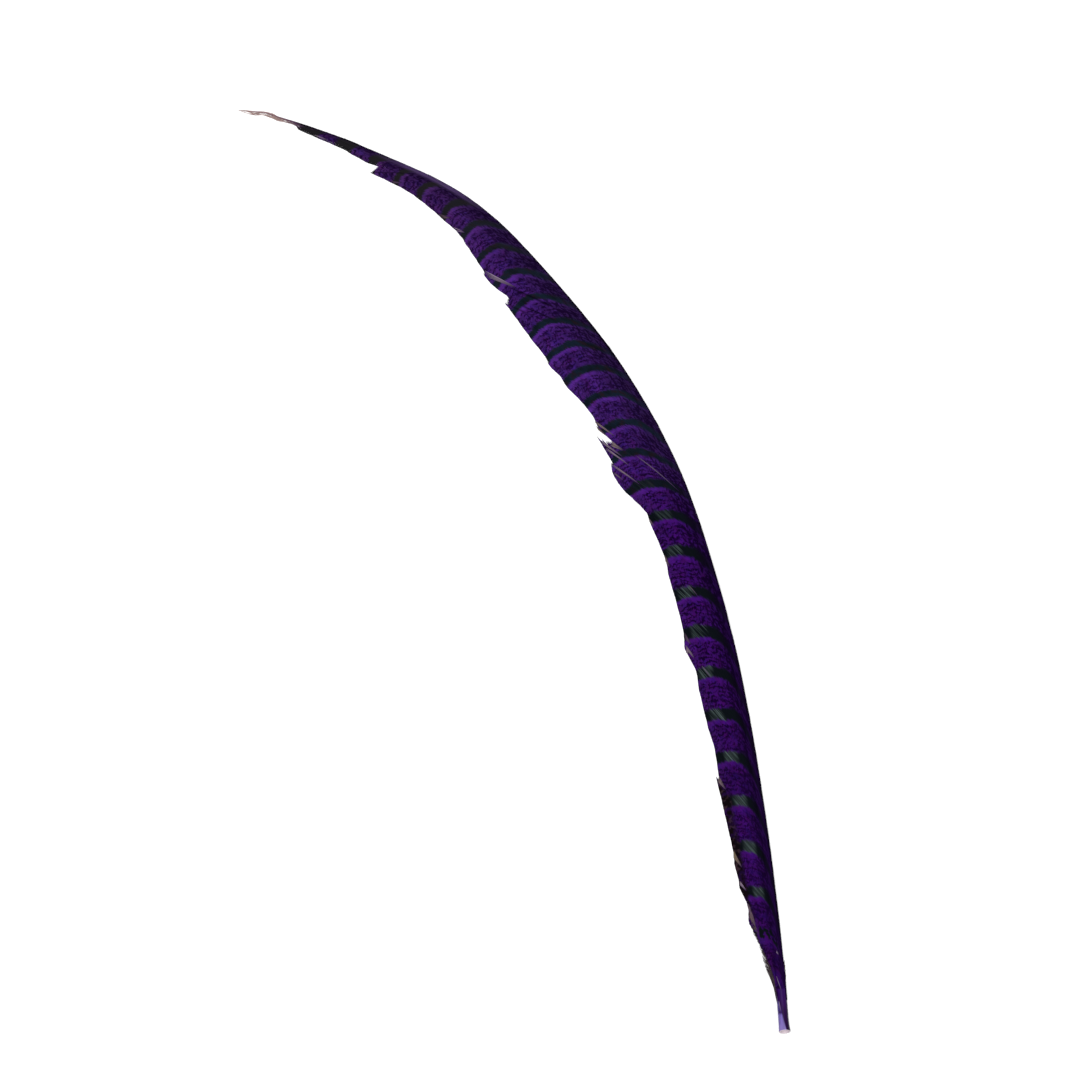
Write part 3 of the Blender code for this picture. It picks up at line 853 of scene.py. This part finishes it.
# %% Add a node for each row of a table
WORDS = {
    # word in a row: kind of node, its settings, and the sockets that the row's values go to
    "EASED": ("ShaderNodeMapRange", {"interpolation_type": "SMOOTHSTEP"}, range(5)),
    "STRAIGHT": ("ShaderNodeMapRange", {}, range(5)),
    "LAID": ("ShaderNodeMix", {"data_type": "RGBA"}, (6, 7, 0)),
    "ADDED": ("ShaderNodeMix", {"data_type": "RGBA", "blend_type": "ADD"}, (6, 7, 0)),
    "LIT": ("ShaderNodeVectorMath", {"operation": "SCALE"}, (0, 3)),
    "SURFACE": ("ShaderNodeBsdfPrincipled", {}, ("Base Color", "Roughness", "Specular IOR Level")),
    "OUTPUT": ("ShaderNodeOutputMaterial", {}, ("Surface",)),
}


def work_out(tree, known, rows):
    """Adds a node for each row: the name it is known by, a word for what it does, and its values.

    A value is a number, a hex colour or an earlier name. EASED and STRAIGHT take what they read, the
    two limits that it goes between and what comes out at each. LAID and ADDED take a colour, the one
    that goes over it and how much of it does. A word that isn't in WORDS names a sum.
    """
    for name, word, *values in rows:
        kind, settings, sockets = WORDS.get(word, ("ShaderNodeMath", {"operation": word}, range(3)))
        taken = [known[v] if v in known else linear(v) if isinstance(v, str) else v for v in values]
        known[name] = add(tree, kind, dict(zip(sockets, taken)), **settings)


print("Words for a node:", list(WORDS))

# %% [markdown]
# ## Dyed barbs and shaft
# Keratin that took the dye: matte, since a surface of fine ridges scatters its highlights, so the sheen of
# the bars is a painted highlight, and painted shade darkens the outer side, the edge and the partings. The
# bars, the wavy lines between them and the painted streaks of sheen are drawn from what each point knows
# about its place. The wavy lines are stripes bent by a noise, mixed with the contour of another noise: a
# contour wanders, forks and closes in rings as the real lines do. The shaft took the same dye, so it has
# the material too.

# %% Read a point's place and lay noises over it
PLACES = (
    # what is stored for each point, and its three numbers
    ("pattern", "station", "aside", "count"),
    ("barb", "root", "along", "chance"),
    ("zone", "seen", "share", "seam_shade"),
    ("bars", "bar_half", "from_painted_sheen", "painted_sheen"),
    ("on_shaft", "shaft_station", "shaft_side", "cut_depth"),
)
NOISES = (
    # name, what it is laid over, millimetres along and across that a blotch measures, detail
    ("wander", "pattern", 11.0, 9.0, 2.0),
    ("warp", "pattern", 4.5, 4.0, 1.0),
    ("breaks", "pattern", 2.6, 3.2, 1.0),
    ("gaps", "pattern", 1.7, 2.0, 0.0),
    ("maze", "pattern", 1.9, 2.5, 0.5),
    ("strokes", "pattern", 2.8, 1.0, 1.0),
    ("patch", "pattern", 8.0, 6.0, 2.0),
    ("blush", "pattern", 3.6, 3.0, 2.0),
    ("streaks", "barb", 1.2, 30.0, 2.0),
)

dyed, tree = new_material("dyed_keratin")
dye = {}
for name, *numbers in PLACES:
    dye[name] = add(tree, "ShaderNodeAttribute", {}, attribute_name=name).outputs["Vector"]
    dye.update(zip(numbers, add(tree, "ShaderNodeSeparateXYZ", {0: dye[name]}).outputs))
for name, over, along, across, detail in NOISES:
    spot = add(tree, "ShaderNodeMapping", {0: dye[over], "Scale": (1 / along, 1 / across, 0)})
    dye[name] = add(tree, "ShaderNodeTexNoise", {"Vector": spot, "Scale": 1.0, "Detail": detail})
print("The dye can read:", list(dye))

# %% Draw the bars
WANDER = 0.22

work_out(tree, dye, (
    ("wandered", "MULTIPLY_ADD", "wander", WANDER, "count"),
    ("bar_count", "SUBTRACT", "wandered", WANDER / 2),
    ("from_bar", "PINGPONG", "bar_count", 0.5),
    ("past_bar", "FRACT", "bar_count"),
    ("upper", "EASED", "station", 245, 310, 0, 1),
    # a bar's tail, swept back beside the shaft, is broader, softer and fainter
    ("in_tail", "EASED", "seen", 0.20, 0.46, 1, 0),
    ("wider", "STRAIGHT", "upper", 0, 1, 0.05, 0.03),
    ("half_here", "MULTIPLY_ADD", "in_tail", "wider", "bar_half"),
    ("from_edge", "SUBTRACT", "from_bar", "half_here"),
    ("soft_edge", "STRAIGHT", "in_tail", 0, 1, 0.04, 0.09),
    ("from_edge", "DIVIDE", "from_edge", "soft_edge"),
    ("bar", "EASED", "from_edge", -1, 1, 1, 0),
    ("tail", "EASED", "seen", 0.02, 0.24, 0.75, 1),
    ("bar", "MULTIPLY", "bar", "tail"),
    # the first bar is broken up into blotches
    ("whole", "STRAIGHT", "station", 53, 60, 0, 1),
    ("blotches", "EASED", "gaps", 0.42, 0.54, "whole", 1),
    ("bar", "MULTIPLY", "bar", "blotches"),
))
print("Nodes up to the bars:", len(tree.nodes))

# %% Draw the wavy lines between the bars
ARC_SPACING_MM = 2.1
ARC_WARP = 2.2

work_out(tree, dye, (
    # stripes bent by a noise, and broken up by another
    ("arc_warp", "MULTIPLY", "warp", ARC_WARP),
    ("arc_count", "MULTIPLY_ADD", "station", 1 / ARC_SPACING_MM, "arc_warp"),
    ("from_arc", "PINGPONG", "arc_count", 0.5),
    ("arcs", "EASED", "from_arc", 0.12, 0.30, 1, 0),
    ("unbroken", "EASED", "breaks", 0.40, 0.50, 0, 1),
    ("arcs", "MULTIPLY", "arcs", "unbroken"),
    # the contour along which a noise has its middle value, broken up too
    ("from_contour", "SUBTRACT", "maze", 0.5),
    ("from_contour", "ABSOLUTE", "from_contour"),
    ("contours", "EASED", "from_contour", 0, 0.085, 1, 0),
    ("unbroken", "EASED", "gaps", 0.36, 0.50, 0, 1),
    ("contours", "MULTIPLY", "contours", "unbroken"),
    # both keep clear of the bars
    ("begins", "EASED", "past_bar", 0.10, 0.17, 0, 1),
    ("ends", "EASED", "past_bar", 0.70, 0.82, 1, 0),
    ("lined", "MULTIPLY", "begins", "ends"),
    ("lines", "MAXIMUM", "arcs", "contours"),
    ("lines", "MULTIPLY", "lines", "lined"),
))
print("Nodes up to the wavy lines:", len(tree.nodes))

# %% Draw the strokes beside the shaft, and soften the marks towards the base
work_out(tree, dye, (
    ("strokes", "EASED", "strokes", 0.47, 0.58, 0, 1),
    ("near_shaft", "EASED", "seen", 0.34, 0.56, 1, 0),
    ("strokes", "MULTIPLY", "strokes", "near_shaft"),
    ("marks", "MAXIMUM", "lines", "strokes"),
    ("strength", "STRAIGHT", "upper", 0, 1, 0.94, 0.85),
    ("marks", "MULTIPLY", "marks", "strength"),
    # towards the base they are fainter, and soft blotches join them
    ("crisp", "STRAIGHT", "station", 110, 165, 0.86, 1),
    ("marks", "MULTIPLY", "marks", "crisp"),
    ("soft", "EASED", "blush", 0.45, 0.33, 0, 1),
    ("near_base", "STRAIGHT", "station", 110, 165, 0.5, 0),
    ("soft", "MULTIPLY", "soft", "near_base"),
    ("soft", "MULTIPLY", "soft", "lined"),
    ("marks", "MAXIMUM", "marks", "soft"),
))
print("Nodes up to the marks:", len(tree.nodes))

# %% Colour the ground between the bars
GROUNDS = (
    # deep and bright violet, and the flat stations over which they take over from those before: the
    # first pair lies below the quill's end, so it holds from there on
    ("1e0630", "2c0a50", -2, -1),
    ("240840", "360c5e", 20, 70),
    ("2a0a46", "3d0e6a", 130, 170),
    ("2c144c", "482076", 245, 310),
    ("2e1648", "44245e", 380, 470),
)

work_out(tree, dye, (
    # brightest in the clean stretch below each bar
    ("clean", "EASED", "past_bar", 0.66, 0.80, 0, 1),
    ("brightness", "MULTIPLY_ADD", "clean", 0.35, "patch"),
    ("brightness", "MULTIPLY_ADD", "gaps", 0.5, "brightness"),
    ("bright", "STRAIGHT", "brightness", 0.55, 1.20, 0, 1),
))
dye["ground"] = linear(GROUNDS[0][0])
for deep, light, begin, end in GROUNDS:
    work_out(tree, dye, (
        ("here", "LAID", deep, light, "bright"),
        ("begun", "EASED", "station", begin, end, 0, 1),
        ("ground", "LAID", "ground", "here", "begun"),
    ))
work_out(tree, dye, (
    # red and blue tinges, and the paler streaks at the broad margin
    ("red", "STRAIGHT", "blush", 0.52, 0.70, 0, 0.4),
    ("ground", "LAID", "ground", "3c0648", "red"),
    ("blue", "STRAIGHT", "blush", 0.46, 0.32, 0, 0.35),
    ("ground", "LAID", "ground", "1c1060", "blue"),
    ("paler", "STRAIGHT", "seen", 0.70, 0.95, 0, 0.2),
    ("paler", "MULTIPLY", "paler", "streaks"),
    ("ground", "LAID", "ground", "54306a", "paler"),
    # painted shade on the outer side, falling away from the light, with its own colour in each half
    ("lower", "SUBTRACT", 1, "upper"),
    ("painted_outer_shade", "EASED", "seen", 0.06, 0.62, 0.80, 0),
    ("painted_outer_shade", "MULTIPLY", "painted_outer_shade", "lower"),
    ("ground", "LAID", "ground", "1a0930", "painted_outer_shade"),
    ("painted_outer_shade", "EASED", "seen", 0.06, 0.72, 0.78, 0),
    ("painted_outer_shade", "MULTIPLY", "painted_outer_shade", "upper"),
    ("ground", "LAID", "ground", "20142f", "painted_outer_shade"),
    # the dark marks over it all
    ("ground", "LAID", "ground", "0d021c", "marks"),
))
print("Nodes up to the ground:", len(tree.nodes))

# %% Colour the bars, with painted glossy streaks in the lower half
work_out(tree, dye, (
    # blue-black, with teal and brown patches in the upper half, and olive near the tip
    ("teal", "STRAIGHT", "patch", 0.30, 0.60, 0, 1),
    ("teal", "MULTIPLY", "teal", "upper"),
    ("bar_colour", "LAID", "0a0e12", "111a26", "teal"),
    ("brown", "STRAIGHT", "blush", 0.50, 0.66, 0, 0.8),
    ("brown", "MULTIPLY", "brown", "upper"),
    ("bar_colour", "LAID", "bar_colour", "1c1218", "brown"),
    ("olive", "STRAIGHT", "station", 390, 460, 0, 1),
    ("bar_colour", "LAID", "bar_colour", "1b191c", "olive"),
    # violet-black tails in the lower half
    ("violet", "EASED", "seen", 0.16, 0.40, 0.85, 0),
    ("violet", "MULTIPLY", "violet", "lower"),
    ("bar_colour", "LAID", "bar_colour", "0b0614", "violet"),
    # a painted green-grey sheen along single barbs, where they would face the light
    ("near_painted_sheen", "EASED", "from_painted_sheen", 0.08, 0.20, 1, 0),
    ("least_painted_gloss", "STRAIGHT", "station", 115, 150, 0.3, 0),
    ("painted_gloss", "EASED", "streaks", 0.44, 0.64, "least_painted_gloss", 1),
    ("painted_gloss", "MULTIPLY", "painted_gloss", "painted_sheen"),
    ("painted_gloss", "MULTIPLY", "painted_gloss", "near_painted_sheen"),
    ("bar_colour", "LAID", "bar_colour", "424f4d", "painted_gloss"),
    ("coloured", "LAID", "ground", "bar_colour", "bar"),
))
print("Nodes up to the bars' colours:", len(tree.nodes))

# %% Paint shade on the outer edge and in the seams, and colour the worn lower margin and a strip near the tip
work_out(tree, dye, (
    # painted shade on the outer edge, where the narrow vane folds down beside the shaft
    ("edge", "EASED", "aside", -1.5, -0.8, 0.75, 0),
    ("above_base", "STRAIGHT", "station", 46, 80, 0, 1),
    ("edge", "MULTIPLY", "edge", "above_base"),
    ("coloured", "LAID", "coloured", "0a060c", "edge"),
    # painted shadow in the partings between locks
    ("coloured", "LAID", "coloured", "07030c", "seam_shade"),
    # the worn margin near the base is brown with pale flecks
    ("worn", "STRAIGHT", "root", 42, 48, 0, 1),
    ("worn_end", "STRAIGHT", "root", 94, 99, 1, 0),
    ("worn", "MULTIPLY", "worn", "worn_end"),
    ("worn_out", "STRAIGHT", "share", 0.62, 0.74, 0, 1),
    ("worn", "MULTIPLY", "worn", "worn_out"),
    ("worn_patch", "STRAIGHT", "breaks", 0.36, 0.56, 0.65, 1),
    ("worn", "MULTIPLY", "worn", "worn_patch"),
    ("flecks", "STRAIGHT", "gaps", 0.56, 0.66, 0, 0.7),
    ("worn_colour", "LAID", "0f080b", "34242c", "flecks"),
    ("coloured", "LAID", "coloured", "worn_colour", "worn"),
    # a lilac-grey strip along the shaft and the barbs beside it, for a short way near the tip
    ("strip", "STRAIGHT", "station", 438, 456, 0, 0.65),
    ("strip_end", "STRAIGHT", "station", 474, 492, 1, 0),
    ("strip", "MULTIPLY", "strip", "strip_end"),
    ("strip_side", "STRAIGHT", "aside", 0, 1.3, 1, 0),
    ("strip", "MULTIPLY", "strip", "strip_side"),
    ("coloured", "LAID", "coloured", "4a3860", "strip"),
))
print("Nodes up to the margins:", len(tree.nodes))

# %% Bare the shaft towards the tip, and finish the dyed keratin
BARE_TONES = ((0.0, "000000"), (0.945, "000000"), (0.96, "5a4250"), (1.0, "8a6a66"))

work_out(tree, dye, (("shaft_way", "STRAIGHT", "shaft_station", 0, SHAFT_LENGTH, 0, 1),))
dye["bare"] = add(tree, "ShaderNodeValToRGB", {0: dye["shaft_way"]}, stops=BARE_TONES)
work_out(tree, dye, (
    ("coloured", "ADDED", "coloured", "bare", 1),
    ("barb_light", "STRAIGHT", "chance", 0, 1, 0.93, 1.07),
    ("coloured", "LIT", "coloured", "barb_light"),
    ("surface", "SURFACE", "coloured", 0.62, 0),
    ("output", "OUTPUT", "surface"),
))
print("Nodes in the dyed keratin:", len(tree.nodes))

# %% [markdown]
# ## Quill, pale barbs and down
# The quill is smooth keratin, like a fingernail: it took the violet dye, is pale at the cut and has a faint
# gloss. A satin highlight is painted light violet on its left side, and painted shade darkens its right.
# The pale barbs and the down are matte keratin with next to no dye.

# %% Colour the quill
QUILL_END = 19.0
RAMP_END = QUILL_END + 3
# right: dyed violet with painted shade; left: a painted light violet highlight with darker streaks
LIT_AND_SHADED_TONES = {
    "right": ((0.0, "1a042e"), (0.3, "220638"), (0.5, "26083e"), (0.85, "2c0a50")),
    "left": (
        (0.0, "74659f"), (0.32, "6a5aa2"), (0.38, "2c1450"), (0.44, "43327a"), (0.56, "4a3a80"),
        (0.64, "2a0b50"), (0.85, "300b58"),
    ),
}
GROWTH_LINES_MM = (9.0, 0.45)

horn, tree = new_material("dyed_quill_keratin")
on_shaft = add(tree, "ShaderNodeAttribute", {}, attribute_name="on_shaft").outputs["Vector"]
quill = dict(zip(("along", "side", "depth"), add(tree, "ShaderNodeSeparateXYZ", {0: on_shaft}).outputs))
spot = add(tree, "ShaderNodeMapping", {0: on_shaft, "Scale": (*(1 / mm for mm in GROWTH_LINES_MM), 0)})
quill["growth"] = add(tree, "ShaderNodeTexNoise", {"Vector": spot, "Scale": 1.0, "Detail": 2.0})
work_out(tree, quill, (("way", "STRAIGHT", "along", 0, RAMP_END, 0, 1),))
for name, tones in LIT_AND_SHADED_TONES.items():
    quill[name] = add(tree, "ShaderNodeValToRGB", {0: quill["way"]}, stops=tones)
work_out(tree, quill, (
    # the edge of the painted highlight runs a little askew, and fine lines of growth lie along the quill
    ("highlight_edge", "MULTIPLY_ADD", "along", -0.07, "side"),
    ("in_painted_highlight", "EASED", "highlight_edge", -0.44, -0.10, 0, 1),
    ("horn", "LAID", "right", "left", "in_painted_highlight"),
    ("growth_light", "STRAIGHT", "growth", 0.3, 0.7, 0.6, 1.3),
    ("horn", "LIT", "horn", "growth_light"),
    # the cut face and the bore are pale
    ("at_cut", "STRAIGHT", "depth", 0.05, 0.3, 1, 0),
    ("horn", "LAID", "horn", "c2b4bc", "at_cut"),
    ("surface", "SURFACE", "horn", 0.4, 0.06),
    ("output", "OUTPUT", "surface"),
))
print("Nodes in the quill's keratin:", len(tree.nodes))

# %% Colour the pale barbs, the wisps and the down
PIECE_TONES = (
    # name, colour at tone 0, colour at tone 1, colour where the dye took
    ("undyed_keratin_barbs", "75664f", "857487", "2a0a44"),
    ("worn_keratin_wisps", "3a2440", "a08682", "2a0f48"),
    ("downy_keratin", "40343a", "3a3028", "2a0f48"),
)

plain = {}
for name, first_tone, second_tone, dye_tone in PIECE_TONES:
    plain[name], tree = new_material(name)
    stored = add(tree, "ShaderNodeAttribute", {}, attribute_name="tone").outputs["Vector"]
    known = dict(zip(("tone", "dye", "chance"), add(tree, "ShaderNodeSeparateXYZ", {0: stored}).outputs))
    work_out(tree, known, (
        ("colour", "LAID", first_tone, second_tone, "tone"),
        ("colour", "LAID", "colour", dye_tone, "dye"),
        ("light", "STRAIGHT", "chance", 0, 1, 0.5, 1.2),
        ("colour", "LIT", "colour", "light"),
        ("surface", "SURFACE", "colour", 0.7, 0.1),
        ("output", "OUTPUT", "surface"),
    ))
print("Plain keratins:", list(plain))

# %% Hand out the materials and tie every piece to the feather
SOLID = "tail_feather"
FINISHES = (
    # piece, its materials, and the slot of the part that they stand for
    (shaft, [horn, dyed], "quill_keratin"),
    (broad_vane, [dyed], "dyed_feather"),
    (narrow_vane, [dyed], "dyed_feather"),
    (pale_barbs, [plain["undyed_keratin_barbs"]], "undyed_barb"),
    (tip_wisps, [plain["worn_keratin_wisps"]], "undyed_barb"),
    (base_down, [plain["downy_keratin"]], "undyed_barb"),
)
for piece, materials, slot in FINISHES:
    piece.data.materials.clear()
    for material in materials:
        piece.data.materials.append(material)
    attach(piece, "root")
    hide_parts(SOLID)
for face in shaft.data.polygons:
    face.material_index = int(shaft_station[face.vertices[0]] > QUILL_END)
print("Pieces:", [piece.name for piece, _, _ in FINISHES])

# %% [markdown]
# ## Table, light and camera
# The feather lies on a plain white table under soft studio light, and the camera looks straight down
# on it. A sun lamp would give it a hard shadow, so one large softbox overhead and a bright white world
# do the work: they leave only a faint, soft shadow.

# %% Lay the table
TABLE_SIDE = 8.0

bpy.ops.object.select_all(action="DESELECT")
bpy.ops.mesh.primitive_plane_add(size=TABLE_SIDE, location=(0, 0, 0))
table = bpy.context.object
table.name = "table_top"
white, tree = new_material("white_laminate")
work_out(tree, {}, (
    ("surface", "SURFACE", (0.9, 0.9, 0.9, 1.0), 0.8, 0.2),
    ("output", "OUTPUT", "surface"),
))
table.data.materials.append(white)
print("Table, m:", TABLE_SIDE, "square")

# %% Light the table
LAMP_PLACE = (-0.1, 0.1, 2.2)
LAMP_SIDE = 0.8
LAMP_WATTS = 50
WORLD_STRENGTH = 0.45

bpy.ops.object.light_add(type="AREA", location=LAMP_PLACE)
lamp = bpy.context.object
lamp.name = "top_softbox"
lamp.data.size = LAMP_SIDE
lamp.data.energy = LAMP_WATTS
aim_x, aim_y, aim_z = -np.array(LAMP_PLACE)
tilt = math.atan2(math.hypot(aim_x, aim_y), -aim_z)
lamp.rotation_euler = (tilt, 0, math.atan2(aim_y, aim_x) - math.pi / 2)
world = bpy.data.worlds.new("white_studio")
world.use_nodes = True
background = world.node_tree.nodes["Background"]
background.inputs["Color"].default_value = (1, 1, 1, 1)
background.inputs["Strength"].default_value = WORLD_STRENGTH
bpy.context.scene.world = world
bpy.context.scene.view_settings.view_transform = "Standard"
print("Softbox tilted by", round(math.degrees(tilt), 1), "degrees")

# %% Look straight down on the feather
PHOTO_CENTRE = (11.915, 15.053)
PHOTO_WIDTH = 518.4
LENS = 85.0
SENSOR = 36.0

camera_height = PHOTO_WIDTH * LENS / SENSOR
bpy.ops.object.camera_add(
    location=(PHOTO_CENTRE[0] * MM, PHOTO_CENTRE[1] * MM, camera_height * MM), rotation=(0, 0, 0),
)
camera = bpy.context.object
camera.data.lens = LENS
camera.data.sensor_width = SENSOR
bpy.context.scene.camera = camera
print("Camera height, m:", round(camera.location.z, 3))
